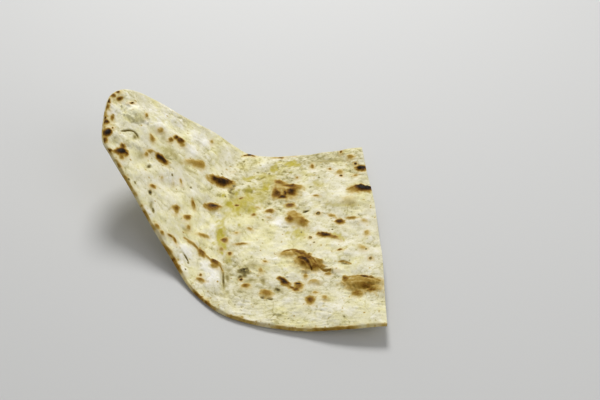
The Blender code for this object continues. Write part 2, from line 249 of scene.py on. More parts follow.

# Broad lighter (above zero) and darker (below zero) areas of the crust: partly its own tone, partly painted light
# and shade, such as the lit top and the shaded front of the bubble at the wing's tip
TINTS = [
    (-71.5, 49.5, 4.9, 2.2, 27, -0.2), (-74, 57, 2.7, 1.8, 52, 0.1),
    (-72.5, 55.5, 4.1, 2.8, 60, 0.15), (-42.5, 64, 5.8, 3.9, 34, 0.15),
    (-29.5, 62, 6.6, 3.8, 27, 0.1), (-31, 26, 5.0, 3.1, 43, 0.15),
    (-49.5, 37.5, 4.5, 3.7, 13, -0.15), (-32, 36, 5.9, 2.9, 30, -0.15),
    (-3, 37.5, 5.8, 5.7, 23, -0.2), (21, 37.5, 6.7, 6.1, -84, -0.15),
    (-7, -59.5, 5.1, 2.9, -28, -0.15), (87, -58.5, 7.3, 3.0, 88, -0.1),
    (-69, 67, 5.1, 2.8, 35, -0.2), (-82.5, 29, 5.4, 2.7, 86, -0.15),
    (25.5, 35.5, 10.8, 9.8, -4, -0.3), (9.5, 19.5, 12.0, 9.2, -3, -0.2),
    (29.5, 19.5, 10.7, 7.8, -2, -0.2), (5, 50, 9.9, 7.9, -1, -0.2),
    (33.5, 51, 11.0, 6.9, -1, -0.2), (53.5, 59.5, 23.7, 6.1, 3, -0.3),
    (74.5, 60, 8.4, 6.4, -23, -0.1), (-22.5, 45, 14.2, 5.8, 26, -0.2),
    (-5, 63.5, 6.5, 5.1, 38, -0.15), (69.5, 9, 10.6, 6.6, -15, -0.2),
    (42.5, 9, 8.0, 6.4, -7, -0.1), (62.5, -10.5, 7.8, 6.5, 88, -0.2),
    (1.5, -37, 8.8, 7.3, -6, -0.2), (-5, -24.5, 8.4, 5.7, -85, -0.15),
    (11.5, -55.5, 13.6, 7.8, -2, -0.2), (39.5, -60, 18.4, 6.4, -5, -0.2),
    (55, -51, 10.0, 5.9, -5, -0.15), (79.5, -30.5, 7.3, 5.6, 89, -0.1),
    (84, 34, 8.3, 5.4, 87, -0.15), (87.5, -47.5, 9.4, 3.6, 89, -0.1),
    (0.5, -11.5, 6.4, 5.2, -4, -0.1), (-82, 47.5, 8.5, 4.6, 81, 0.2),
    (-74, 46.5, 8.0, 4.1, 35, 0.1), (-42.5, 60, 9.3, 5.6, 15, 0.2),
    (-27.5, 64, 8.4, 5.0, 10, 0.15), (-50, 64.5, 8.1, 5.2, 18, 0.1), (-42, 21, 8.8, 4.9, 42, 0.2),
    (-38.5, 11, 6.7, 4.0, 60, 0.15), (-23, 30, 4.9, 3.0, 56, 0.1), (-63, -1.5, 5.4, 3.4, 84, 0.15),
    (-29.5, -5.5, 6.7, 4.4, 61, 0.2), (-19, -14, 5.0, 4.3, 83, 0.2), (-32, -28, 6.5, 5.4, 37, 0.2),
    (-35.5, -39.5, 6.1, 3.8, 85, 0.2), (-16.5, -49, 7.4, 4.9, -79, 0.15),
    (35.5, -49, 4.4, 4.0, -33, 0.2), (56.5, 36, 7.3, 6.5, -58, 0.1), (71, -30, 7.5, 6.0, -14, 0.1),
    (18, -31, 6.7, 6.3, -74, 0.1), (-8, 62, 3.1, 1.9, 30, 0.2), (-55.5, 54.5, 9.0, 4.8, 49, 0.1),
]

# Broad areas that are yellower (above zero) or greyer (below zero) than the rest
WARMTH = [
    (-72, 51, 4.7, 2.8, 30, 0.8), (-74.5, 32.5, 5.7, 2.5, 41, 0.5), (4.5, 58, 7.3, 4.0, 1, 0.3),
    (-34, 6.5, 13.3, 8.3, 60, 0.4), (7, -3, 10.7, 10.3, -58, 0.3),
    (-44.5, -15.5, 8.8, 6.5, 66, 0.6), (-32, -19, 8.0, 5.2, 35, 0.6),
    (-18.5, -24.5, 10.0, 6.7, -38, 0.5), (-3, 12, 12.8, 10.9, -85, 0.5),
    (45, -20.5, 11.7, 6.8, -10, 0.4), (34.5, -35.5, 9.1, 6.4, -16, 0.5),
    (5.5, 68, 7.5, 6.1, 4, -0.5), (26.5, 62, 11.1, 6.0, 0, -0.7),
    (53.5, 59.5, 14.1, 6.1, -4, -0.5), (45.5, -53, 18.6, 8.6, -5, -0.8),
    (8.5, -53, 16.1, 9.5, -2, -0.6), (83, -34.5, 14.0, 6.2, 88, -0.8),
    (84, 1, 11.8, 5.1, 90, -0.5), (-6, -36, 9.9, 7.4, 86, -0.5), (-43.5, 50, 11.5, 6.1, 54, 0.3),
    (-9, 38, 10.9, 8.8, 35, -0.3), (33, -2.5, 9.2, 6.9, -6, -0.5), (46, 50, 8.3, 5.9, -5, -0.4),
]

# Burnt grains of flour: x, y
FLECKS = [
    (-46.5, 23.0), (-34.5, 20.0), (-67.0, 5.5), (-70.5, 6.0), (-55.0, -8.5), (-16.0, 41.0),
    (-12.0, 22.0), (18.0, 45.5), (51.0, 6.0), (46.0, -15.0), (83.0, -37.5), (48.5, -20.0),
    (5.5, -41.0), (80.5, -29.0), (-32.0, -36.5), (-33.5, -42.0), (40.0, -9.5), (60.0, -9.0),
]

# ---------------------------------------------------------------- the mesh
TOP_ACROSS = 304
TOP_ALONG = 232
WALL_ROWS = 8


def smooth_step(value):
    """Zero below 0, one above 1, and 3t^2 - 2t^3 between."""
    t = np.clip(value, 0.0, 1.0)
    return t * t * (3.0 - 2.0 * t)


def ramp(distance, blend):
    """Zero before the start, then a slope of one that is reached over the blend."""
    t = np.maximum(distance, 0.0)
    return np.where(t < blend, t * t / (2.0 * blend), t - blend / 2.0)


def uneven(x, y, length, seed, stretch=1.0, count=16):
    """Smooth unevenness of unit size: the sum of plane waves in random directions,
    each near the given length, drawn out along X by the stretch."""
    rng = np.random.default_rng(seed)
    total = np.zeros_like(x)
    for _ in range(count):
        turn = rng.uniform(0, TAU)
        wave = length * rng.uniform(0.7, 1.5)
        phase = rng.uniform(0, TAU)
        total += np.sin(TAU * (x * math.cos(turn) / stretch + y * math.sin(turn)) / wave + phase)
    return total * math.sqrt(2.0 / count)


# ---------------------------------------------------------------- outline and sheet
def smooth_curve(points, steps):
    """A dense line through the points (Catmull-Rom), with this many steps a span."""
    p = np.array(points, float)
    p = np.vstack([2 * p[0] - p[1], p, 2 * p[-1] - p[-2]])
    t = np.linspace(0.0, 1.0, steps, endpoint=False)[:, None]
    spans = []
    for a, b, c, d in zip(p, p[1:], p[2:], p[3:]):
        square = 2 * a - 5 * b + 4 * c - d
        cube = 3 * b - a - 3 * c + d
        spans.append(b + 0.5 * ((c - a) * t + square * t**2 + cube * t**3))
    return np.vstack(spans + [p[-2:-1]])


EDGE = smooth_curve(NATURAL_EDGE, EDGE_STEPS)


def along(line, share):
    """Points at these shares of the line's length."""
    length = np.hypot(*np.diff(line, axis=0).T)
    at = np.concatenate([[0.0], np.cumsum(length)]) / length.sum()
    return np.stack([np.interp(share, at, line[:, 0]), np.interp(share, at, line[:, 1])], -1)


def cut_line(front_end, back_end):
    """The knife's cut: a straight run plus a bow of half a sine wave outwards."""
    share = np.linspace(0.0, 1.0, 4 * EDGE_STEPS)[:, None]
    run = back_end - front_end
    outward = np.array([run[1], -run[0]]) / np.linalg.norm(run)
    return front_end + run * share + outward * np.sin(math.pi * share) * CUT_BOW


def sheet_plan(u, v):
    """Coons patch over the four sides: u runs from the left side to the cut and v from
    front to back.  The two ruled sheets are added and the corners' bilinear one taken off."""
    tip = TIP_CORNER * EDGE_STEPS
    heel = HEEL_CORNER * EDGE_STEPS
    back = EDGE[: tip + 1][::-1]
    left = EDGE[tip : heel + 1][::-1]
    front = EDGE[heel:]
    cut = cut_line(front[-1], back[-1])
    a, b = u[..., None], v[..., None]
    between = (1 - b) * along(front, u) + b * along(back, u)
    across = (1 - a) * along(left, v) + a * along(cut, v)
    front_corners = (1 - b) * ((1 - a) * front[0] + a * front[-1])
    back_corners = b * ((1 - a) * back[0] + a * back[-1])
    return between + across - front_corners - back_corners


def nearest_edge(x, y):
    """Distance to the natural edge, and the share of its length where the foot lies."""
    points = np.stack([x.ravel(), y.ravel()], -1)
    nearest = np.full(len(points), np.inf)
    share = np.zeros(len(points))
    total = np.hypot(*np.diff(EDGE, axis=0).T).sum()
    passed = 0.0
    for start, end in zip(EDGE, EDGE[1:]):
        run = end - start
        length = math.hypot(*run)
        part = np.clip((points - start) @ run / length**2, 0.0, 1.0)
        away = np.hypot(*(points - start - part[:, None] * run).T)
        closer = away < nearest
        nearest = np.where(closer, away, nearest)
        share = np.where(closer, (passed + part * length) / total, share)
        passed += length
    return nearest.reshape(x.shape), share.reshape(x.shape)


# ---------------------------------------------------------------- heights
def valley_places(x, y):
    """Places across and along the valley: the plan turned by the valley's angle."""
    across = x * math.cos(VALLEY_TURN) - y * math.sin(VALLEY_TURN) + VALLEY_SHIFT
    run = x * math.sin(VALLEY_TURN) + y * math.cos(VALLEY_TURN)
    return across, run


def bend_height(x, y):
    """The underside: zero along the valley, a blended slope up into the wing and a
    gentler one into the panel, with slow sine waves on both."""
    across, run = valley_places(x, y)
    into_wing = -across - WING_START
    into_panel = across - PANEL_START
    wing = np.tan(WING_SLOPE + WING_TWIST * run) * ramp(into_wing, WING_BLEND)
    panel = math.tan(PANEL_SLOPE) * ramp(into_panel, PANEL_BLEND)
    wavy = smooth_step(into_wing / WAVE_RISE) + smooth_step(into_panel / WAVE_RISE - 0.7)
    waves = np.sin(TAU * (run + WAVE_SLANT * across) / WAVE_LENGTH)
    return wing + panel + WAVE_HEIGHT * wavy * waves


def sheet_normal(x, y):
    """Unit normals of the bend, from its slopes over a millimetre."""
    slope_x = bend_height(x + 0.5, y) - bend_height(x - 0.5, y)
    slope_y = bend_height(x, y + 0.5) - bend_height(x, y - 0.5)
    normal = np.stack([-slope_x, -slope_y, np.ones_like(x)], -1)
    return normal / np.linalg.norm(normal, axis=-1, keepdims=True)


def oval_distance(x, y, place):
    """Distance from an oval's middle, counted so that its outline is at one."""
    dx = x - place[0]
    dy = y - place[1]
    turn = math.radians(place[4])
    p = (dx * math.cos(turn) + dy * math.sin(turn)) / place[2]
    q = (dy * math.cos(turn) - dx * math.sin(turn)) / place[3]
    return np.hypot(p, q)


def pillow_height(x, y):
    """The puffed fold: smooth steps up at its crease and its ridge, fading to the left."""
    dx = x - CREASE_FOOT[0]
    dy = y - CREASE_FOOT[1]
    below_ridge = dx * math.sin(RIDGE_TURN) - dy * math.cos(RIDGE_TURN)
    inside = smooth_step(-dx / CREASE_WIDTH) * smooth_step(below_ridge / CREASE_WIDTH)
    fade = 1.0 - smooth_step(np.hypot(dx, below_ridge) / PILLOW_REACH)
    return PILLOW_HEIGHT * inside * fade


def line_distance(x, y, points):
    """Distance to a smooth line through the points."""
    line = smooth_curve(points, 8)
    nearest = np.full(x.shape, np.inf)
    for start, end in zip(line, line[1:]):
        run = end - start
        part = np.clip(((x - start[0]) * run[0] + (y - start[1]) * run[1]) / (run @ run), 0, 1)
        away = np.hypot(x - start[0] - part * run[0], y - start[1] - part * run[1])
        nearest = np.minimum(nearest, away)
    return nearest


UNION = 4.0
WING_GRAIN = math.radians(-56)  # the direction in which the wing's texture is drawn out
HALO_WIDTH = 2.6

# Toasted strokes (above zero), and paler ones over them (below zero) that are painted glints on the glossy toast:
# points, half width, darkness
STROKES = [
    ([(-35.5, -19.5), (-32, -21.5), (-28, -24.5), (-23.5, -28),
      (-19, -32.5), (-14.5, -36.5), (-11, -39.5), (-9.5, -41)], 0.84, 0.4),
    ([(28.5, -26), (34.5, -24.5), (39.5, -27), (45, -31),
      (49, -36), (51, -40), (54, -42.5), (58.5, -43.5)], 0.77, 0.62),
    ([(38, -32), (42, -35), (45, -38.5), (46.5, -42)], 0.7, 0.82),
    ([(36.5, -28), (41, -31), (45, -35.5), (47, -39.5)], 0.56, -0.42),
    ([(40, -35), (42.5, -37.5), (44, -40.5)], 0.49, -0.35),
    ([(24, 31), (26.5, 30.5), (29, 29.5), (31, 29)], 0.84, -0.6),
    ([(26, 29.5), (26.5, 27), (26.5, 24.5)], 0.56, -0.35),
    ([(29.5, 29), (29.5, 26.5)], 0.56, -0.45),
    ([(66, -50), (72, -49.5), (78, -50.5), (83, -52.5), (88, -55.5)], 0.77, 0.45),
    ([(71.5, -55.5), (76.5, -55.5), (81, -57)], 0.7, -0.4),
    ([(75, -60.5), (79.5, -61.5), (84.5, -59.5)], 0.63, -0.35),
    ([(63.5, -37.5), (66, -37), (69, -38), (71, -39.5)], 0.49, 0.5),
]

# Cracks: points, half width, depth, darkness
CRACKS = [
    ([(-79, 37.5), (-76.5, 39.5), (-73, 41.5), (-70.5, 41.5), (-68.5, 40), (-68, 38)], 0.55, 0.8, 0.95),
    ([(-36, -30.5), (-34, -32.5), (-32.5, -34.5), (-31.5, -36.5)], 0.5, 0.5, 0.9),
]


def top_relief(x, y):
    """Everything that the upper face adds to the dough's thickness, with its toasting, its paleness and the painted
    light and shade in its colour values.

    Puffed places are smooth mounds on ragged ovals.  Wrinkles are unevenness drawn out
    along X, and cracks are grooves along their lines.
    """
    across, _ = valley_places(x, y)
    ragged = 0.10 * uneven(x, y, 4.5, 11) + 0.07 * uneven(x, y, 1.9, 12)
    height = np.zeros_like(x)
    for place in BLISTERS:
        height += place[5] * (1.0 - smooth_step(oval_distance(x, y, place) * (1 + ragged)))
    height += pillow_height(x, y)

    toast = np.zeros_like(x)
    mound = np.zeros_like(x)
    halo = np.zeros_like(x)
    for place in TOASTED:
        size = math.sqrt(place[2] * place[3])
        reach = oval_distance(x, y, place) * (1.0 + 0.7 * ragged)
        to_back = ((y - place[1]) / size).clip(-1.2, 1.2)
        spot = place[5] * (1.0 - smooth_step((reach - 0.2) / 1.35)) * (1.0 + 0.2 * to_back)
        toast += spot**UNION
        mound = np.maximum(mound, min(1.1, 0.26 * size) * (1.0 - smooth_step(reach / 1.35)))
        around = (reach - 0.8 + 0.15 * to_back) * size
        halo = np.maximum(halo, min(1.0, 0.3 + place[5]) * (1.0 - smooth_step(around / HALO_WIDTH)))
    toast = toast ** (1.0 / UNION)
    # Strokes below zero take toast away in pale lines: painted glints on the glossy toasted skin.
    for points, half_width, strength in STROKES:
        line = np.exp(-((line_distance(x, y, points) / half_width) ** 2))
        toast = np.maximum(toast, strength * line) if strength > 0 else toast * (1.0 + strength * line)
        mound += 0.12 * line * np.sign(-strength)
    height += mound

    # Pale places: floury white, and painted highlight on the tops of puffs.
    pale = np.zeros_like(x)
    for place in PALE:
        reach = oval_distance(x, y, place) * (1.0 + 1.6 * ragged)
        pale = np.maximum(pale, place[5] * (1.0 - smooth_step((reach - 0.2) / 1.2)))
    # Painted shade in hollows, creases and under puffs, and some grey-black smudges.
    shade = np.zeros_like(x)
    for place in SHADED:
        reach = oval_distance(x, y, place) * (1.0 + min(1.6, 0.7 * place[3]) * ragged)
        shade += (place[5] * (1.0 - smooth_step(reach / 1.5))) ** UNION
    shade = shade ** (1.0 / UNION)
    height += 0.55 * pale - 0.5 * shade
    # Broad lighter and darker areas: the crust's own tone and painted light and shade.
    tint = np.zeros_like(x)
    for place in TINTS:
        tint += place[5] * (1.0 - smooth_step(oval_distance(x, y, place) * (1.0 + 2 * ragged) / 1.8))

    warmth = np.zeros_like(x)
    for place in WARMTH:
        warmth += place[5] * (1.0 - smooth_step(oval_distance(x, y, place) * (1.0 + 2 * ragged) / 1.8))

    panel = smooth_step((across + 2.0) / 26.0)
    calm = 1.0 - 0.6 * pale
    wrinkles = drawn_out(x, y, panel, 2.6, 21, 3.2, 2.6)
    wrinkles *= (0.6 + 0.5 * uneven(x, y, 13.0, 22)).clip(0, 2)
    height += (0.04 + 0.08 * panel) * calm * wrinkles
    lump = 0.55 * drawn_out(x, y, panel, 4.6, 23, 1.3) + 0.65 * drawn_out(x, y, panel, 8.5, 26, 1.5)
    height += calm * (0.13 * lump + 0.045 * uneven(x, y, 2.0, 25)) + 0.36 * uneven(x, y, 16.0, 24)
    vein = np.exp(-((drawn_out(x, y, panel, 11.0, 27, 1.8) / 0.13) ** 2))
    vein = np.maximum(vein, 0.7 * np.exp(-((drawn_out(x, y, panel, 6.0, 28, 1.6) / 0.12) ** 2)))
    vein *= calm * smooth_step(0.6 + 0.6 * uneven(x, y, 14.0, 29))
    height -= 0.14 * vein
    crack = np.zeros_like(x)
    for points, half_width, depth, darkness in CRACKS:
        ends = np.minimum(*(np.hypot(x - end[0], y - end[1]) for end in (points[0], points[-1])))
        taper = smooth_step(ends / 4.0 + 0.25)
        groove = taper * np.exp(-((line_distance(x, y, points) / half_width) ** 2))
        height -= depth * groove
        crack = np.maximum(crack, darkness * groove)
    for place in FLECKS:
        crack = np.maximum(crack, 1.0 - smooth_step((np.hypot(x - place[0], y - place[1]) - 0.2) / 0.7))
    dome, border = cells(x, y, 5.2, 33)
    puffy = calm * (0.55 + 0.45 * uneven(x, y, 18.0, 34)).clip(0.0, 1.3)
    height += puffy * (0.5 * dome - 0.18 * border)
    # Painted highlight on the domes of the cells and painted shade along their borders.
    tint += puffy * (0.12 * (dome - 0.5) - 0.18 * border)
    # The tone: lighter on the lumps and darker along the veins' grooves, painted light and shade that follow the
    # relief, and lighter on pale places and the pillow.
    tone = tint + 0.05 * lump - 0.25 * vein + 0.26 * pale + 0.32 * pillow_height(x, y) / PILLOW_HEIGHT
    return height, {"toast": toast, "halo": halo, "tone": tone, "warmth": warmth, "shade": shade, "crack": crack, "panel": panel}


def drawn_out(x, y, panel, length, seed, stretch, wing_stretch=1.8):
    """Unevenness drawn out along X on the panel and down the slope on the wing, mixed
    by the panel's share."""
    p = x * math.cos(WING_GRAIN) + y * math.sin(WING_GRAIN)
    q = y * math.cos(WING_GRAIN) - x * math.sin(WING_GRAIN)
    on_panel = panel * uneven(x, y, length, seed, stretch=stretch)
    on_wing = (1.0 - panel) * uneven(p, q, length, seed, stretch=wing_stretch)
    return (on_panel + on_wing) / np.hypot(panel, 1.0 - panel)


def cells(x, y, spacing, seed):
    """Puffs packed side by side around random middles, as (dome, border): the dome falls
    with the square of the distance to the nearest middle, and the border is a bell
    curve of how much further the second nearest is."""
    rng = np.random.default_rng(seed)
    first = np.full(x.shape, 2.0)
    second = np.full(x.shape, 2.0)
    low, high = EDGE.min(0), EDGE.max(0)
    count = int(np.prod(high - low) / (0.8 * spacing**2))
    middles_x = rng.uniform(low[0], high[0], count)
    middles_y = rng.uniform(low[1], high[1], count)
    for cx, cy, long in zip(middles_x, middles_y, rng.uniform(1.0, 1.7, count)):
        turn = WING_GRAIN if valley_places(cx, cy)[0] < 0.0 else 0.0
        near = (abs(x - cx) < 2 * spacing * long) & (abs(y - cy) < 2 * spacing * long)
        dx, dy = x[near] - cx, y[near] - cy
        p = (dx * math.cos(turn) + dy * math.sin(turn)) / long
        away = np.hypot(p, dy * math.cos(turn) - dx * math.sin(turn)) / spacing
        old = first[near]
        second[near] = np.minimum(second[near], np.maximum(old, away))
        first[near] = np.minimum(old, away)
    dome = 1.0 - (first.clip(0.0, 1.0)) ** 2
    return dome, np.exp(-(((second - first) / 0.12) ** 2))


def scattered(x, y, count, smallest, largest, seed):
    """Many small round places: for each, one at its middle and zero at its radius."""
    rng = np.random.default_rng(seed)
    field = np.zeros_like(x)
    low, high = EDGE.min(0), EDGE.max(0)
    for _ in range(count):
        cx = rng.uniform(low[0], high[0])
        cy = rng.uniform(low[1], high[1])
        radius = rng.uniform(smallest, largest)
        squeeze = rng.uniform(0.5, 1.0)
        depth = rng.uniform(0.4, 1.0)
        near = (abs(x - cx) < radius) & (abs(y - cy) < radius)
        away = np.hypot(x[near] - cx, (y[near] - cy) / squeeze) / radius
        field[near] = np.maximum(field[near], depth * (1.0 - smooth_step(away)))
    return field


def ghee_field(x, y):
    """Where ghee has soaked in: ragged ovals, strongest at their middles."""
    ragged = 0.18 * uneven(x, y, 8.0, 31) + 0.14 * uneven(x, y, 3.2, 32)
    field = np.zeros_like(x)
    for place in GHEE:
        reach = oval_distance(x, y, place) * (1.0 + ragged)
        field = np.maximum(field, place[5] * (1.0 - smooth_step((reach - 0.3) / 1.0)))
    return field


def rim_toast(distance, share, x, y):
    """The golden band along the natural edge with a browner line outside: strong round
    the wing's tip, down its left side and along the front, and weak along the back."""
    strength = 0.3 + 0.3 * smooth_step((share - 0.38) / 0.03) + 0.4 * smooth_step((share - 0.5) / 0.04)
    strength = strength * (0.9 + 0.3 * uneven(x, y, 17.0, 45)).clip(0.45, 1.35)
    wide = (3.0 + 1.1 * uneven(x, y, 9.0, 41)).clip(1.2, 5.2)
    band = 0.17 * (1.0 - smooth_step(distance / wide)) * (1.0 + 0.2 * uneven(x, y, 5.0, 42))
    line = 0.15 * (1.0 - smooth_step(distance / 1.2)) * (1.0 + 0.2 * uneven(x, y, 11.0, 43))
    beads = 0.28 * scattered(x, y, 2600, 0.7, 1.6, 44) * (1.0 - smooth_step((distance - 1.5) / 3.0))
    return (strength * (band + line + beads)).clip(0.0, 1.0)


# ---------------------------------------------------------------- building the bread
def grid_shares(cells):
    """Even shares from 0 to 1, crowded a little towards both ends."""
    share = np.linspace(0.0, 1.0, cells + 1)
    return share - 0.35 * np.sin(TAU * share) / TAU


def under_points(x, y, near):
    """The underside: the bend, lifted where the rim rounds under, with slight unevenness
    that is nothing where the bread touches the table."""
    z = bend_height(x, y) + RIM_UNDERCUT * near**2
    off_table = smooth_step(z / 0.8)
    dimples = scattered(x, y, 260, 2.0, 5.0, 52)
    z = z + off_table * (0.12 * uneven(x, y, 9.0, 51) + 0.3 * dimples - 0.05 * uneven(x, y, 3.0, 53))
    return np.stack([x, y, z], -1)


def under_bake(x, y):
    """Toasting of the underside, where the dough lay on the hot oven wall: gold all over,
    with soft brown freckles and a few scorched ones."""
    ragged = 1.0 + 0.3 * uneven(x, y, 3.4, 71) + 0.2 * uneven(x, y, 1.8, 74)
    bake = 0.07 + 0.05 * uneven(x, y, 24.0, 75) + 0.03 * uneven(x, y, 7.0, 76)
    bake = bake.clip(0.0, 0.3) + 0.34 * scattered(x, y, 260, 1.6, 4.6, 72) * ragged
    scorched = 0.85 * scattered(x, y, 46, 1.4, 4.0, 73) * ragged
    return np.maximum(bake, scorched).clip(0.0, 1.0)


def crumb_pits(run, down):
    """Pores in the cut face, from the places along it and the share of the way down:
    long ovals drawn out along the cut, one at their middles."""
    rng = np.random.default_rng(91)
    pits = np.zeros_like(run)
    for _ in range(210):
        middle = rng.uniform(0.0, 160.0)
        level = rng.uniform(0.18, 0.82)
        reach = rng.uniform(0.7, 2.2)
        tall = rng.uniform(0.09, 0.2)
        away = np.hypot((run - middle) / reach, (down - level) / tall)
        pits = np.maximum(pits, rng.uniform(0.4, 1.0) * (1.0 - smooth_step(away)))
    return pits


def top_points(x, y, near, relief):
    """The upper face: the bend moved along its normals by the dough's thickness, which
    falls off along a quarter round at the natural edge."""
    z = bend_height(x, y) + RIM_UNDERCUT * near**2
    puffed = THICKNESS + relief
    thick = RIM_THICKNESS + (puffed - RIM_THICKNESS) * np.sqrt(1.0 - near**2)
    return np.stack([x, y, z], -1) + sheet_normal(x, y) * thick[..., None]


def ring_of(grid):
    """The border of a grid as one loop: front, cut, back, left, seen from above."""
    return np.concatenate([grid[:-1, 0], grid[-1, :-1], grid[:0:-1, -1], grid[0, :0:-1]])


def grid_quads(index, up):
    """Four corners for each cell of a grid of vertex numbers, facing up or down."""
    a, b, c, d = index[:-1, :-1], index[1:, :-1], index[1:, 1:], index[:-1, 1:]
    order = (a, b, c, d) if up else (a, d, c, b)
    return np.stack([corner.ravel() for corner in order], -1)


def bread_surface():
    """The whole skin as (points, quads, triangles, values).

    The upper face is a fine grid and the underside one of half its density.  Between
    their borders run rows of wall points: along the natural edge they bulge outwards
    by half a sine wave, and along the cut they stay flat with pores pressed in.
    """
    u, v = np.meshgrid(grid_shares(TOP_ACROSS), grid_shares(TOP_ALONG), indexing="ij")
    plan = sheet_plan(u, v)
    x, y = plan[..., 0], plan[..., 1]
    distance, share = nearest_edge(x, y)
    near = np.clip(1.0 - distance / RIM_WIDTH, 0.0, 1.0)
    relief, values = top_relief(x, y)
    pocks = scattered(x, y, 900, 0.8, 2.0, 61)
    flecks = scattered(x, y, 320, 0.6, 1.3, 62)
    rises = scattered(x, y, 260, 1.5, 4.0, 63)
    relief = relief - 0.12 * pocks + 0.22 * rises
    top = top_points(x, y, near, relief)
    under = under_points(x, y, near)
    edge = rim_toast(distance, share, x, y)
    values["toast"] = np.maximum(values["toast"], edge)
    values["toast"] = np.maximum(values["toast"], 0.4 * flecks)
    values["ghee"] = ghee_field(x, y)
    values["relief"] = relief

    top_index = np.arange(x.size).reshape(x.shape)
    half = (slice(None, None, 2), slice(None, None, 2))
    under_index = x.size + np.arange(x[half].size).reshape(x[half].shape)
    under_toast = np.maximum(under_bake(x, y), rim_toast(distance, share, x, y))

    ring_top = ring_of(top)
    ring_under = ring_of(under)
    ring_x, ring_y = ring_of(x), ring_of(y)
    on_cut = (np.arange(len(ring_x)) >= TOP_ACROSS) & (np.arange(len(ring_x)) <= TOP_ACROSS + TOP_ALONG)
    ahead = np.roll(ring_under, -1, 0) - np.roll(ring_under, 1, 0)
    outward = np.stack([ahead[:, 1], -ahead[:, 0]], -1)
    outward = outward / np.linalg.norm(outward, axis=1, keepdims=True)
    run = np.cumsum(np.hypot(*(ring_top - np.roll(ring_top, 1, 0))[:, :2].T))
    run -= run[TOP_ACROSS]
    rows, row_toast, row_pore_shade = [], [], []
    ring_distance, ring_share = ring_of(distance), ring_of(share)
    edge_toast = rim_toast(ring_distance, ring_share, ring_x, ring_y)
    for row in range(1, WALL_ROWS):
        down = row / WALL_ROWS
        wall = ring_top + (ring_under - ring_top) * down
        pits = np.where(on_cut, crumb_pits(run, down), 0.0)
        pores = 0.10 * uneven(ring_x, ring_y, 2.4, 81 + row) - 0.12 - 0.55 * pits
        bulge = np.where(on_cut, pores, RIM_BULGE * math.sin(math.pi * down))
        wall[:, :2] += outward * bulge[:, None]
        rows.append(wall)
        row_toast.append(np.where(on_cut, 0.0, edge_toast))
        # The cut face's pores are darkened through the shade value: painted shade in them.
        row_pore_shade.append(0.55 * pits)

    points = np.concatenate([top.reshape(-1, 3), under[half].reshape(-1, 3)] + rows)
    first = x.size + x[half].size
    size = len(ring_x)
    loops = [ring_of(top_index)] + [first + size * k + np.arange(size) for k in range(WALL_ROWS - 1)]
    quads = [grid_quads(top_index, True), grid_quads(under_index, False)]
    for upper, lower in zip(loops, loops[1:]):
        quads.append(np.stack([upper, lower, np.roll(lower, -1), np.roll(upper, -1)], -1))
    last = loops[-1]
    ring_half = ring_of(under_index)
    a0, a1, a2 = last[0::2], last[1::2], np.roll(last, -2)[0::2]
    b0, b1 = ring_half, np.roll(ring_half, -1)
    triangles = np.concatenate([np.stack([a0, b0, a1], -1), np.stack([a1, b0, b1], -1), np.stack([a1, b1, a2], -1)])

    filled = {}
    walls = size * (WALL_ROWS - 1)
    belows = {"toast": under_toast[half].ravel(), "panel": values["panel"][half].ravel()}
    sides = {"toast": np.concatenate(row_toast), "shade": np.concatenate(row_pore_shade)}
    sides["panel"] = np.tile(ring_of(values["panel"]), WALL_ROWS - 1)
    sides["crumb"] = np.tile(np.where(on_cut, 1.0, 0.0), WALL_ROWS - 1)
    values["crumb"] = np.zeros_like(x)
    for name, field in values.items():
        below = belows.get(name, np.zeros(x[half].size))
        filled[name] = np.concatenate([field.ravel(), below, sides.get(name, np.zeros(walls))])
    return points, np.concatenate(quads), triangles, filled


def make_bread():
    points, quads, triangles, values = bread_surface()
    points[:, :2] -= FOOTPRINT_CENTRE
    mesh = bpy.data.meshes.new("naan bread")
    mesh.vertices.add(len(points))
    mesh.vertices.foreach_set("co", (points * MM).astype(np.float32).ravel())
    corners = np.concatenate([quads.ravel(), triangles.ravel()])
    mesh.loops.add(len(corners))
    mesh.loops.foreach_set("vertex_index", corners.astype(np.int32))
    sizes = np.concatenate([np.full(len(quads), 4), np.full(len(triangles), 3)])
    mesh.polygons.add(len(sizes))
    mesh.polygons.foreach_set("loop_start", (np.cumsum(sizes) - sizes).astype(np.int32))
    mesh.update(calc_edges=True)
    mesh.validate()
    mesh.shade_smooth()
    mesh.set_sharp_from_angle(angle=math.radians(55))
    for name, field in values.items():
        layer = mesh.attributes.new(name, "FLOAT", "POINT")
        layer.data.foreach_set("value", field.astype(np.float32))
    bread = bpy.data.objects.new("naan_bread", mesh)
    bpy.context.scene.collection.objects.link(bread)
    return bread


# ---------------------------------------------------------------- finishes
def colour(red, green, blue):
    """Screen colour values from 0 to 255 as the shader's linear values."""
    share = np.array([red, green, blue]) / 255.0
    linear = np.where(share <= 0.04045, share / 12.92, ((share + 0.055) / 1.055) ** 2.4)
    return (*linear.tolist(), 1.0)


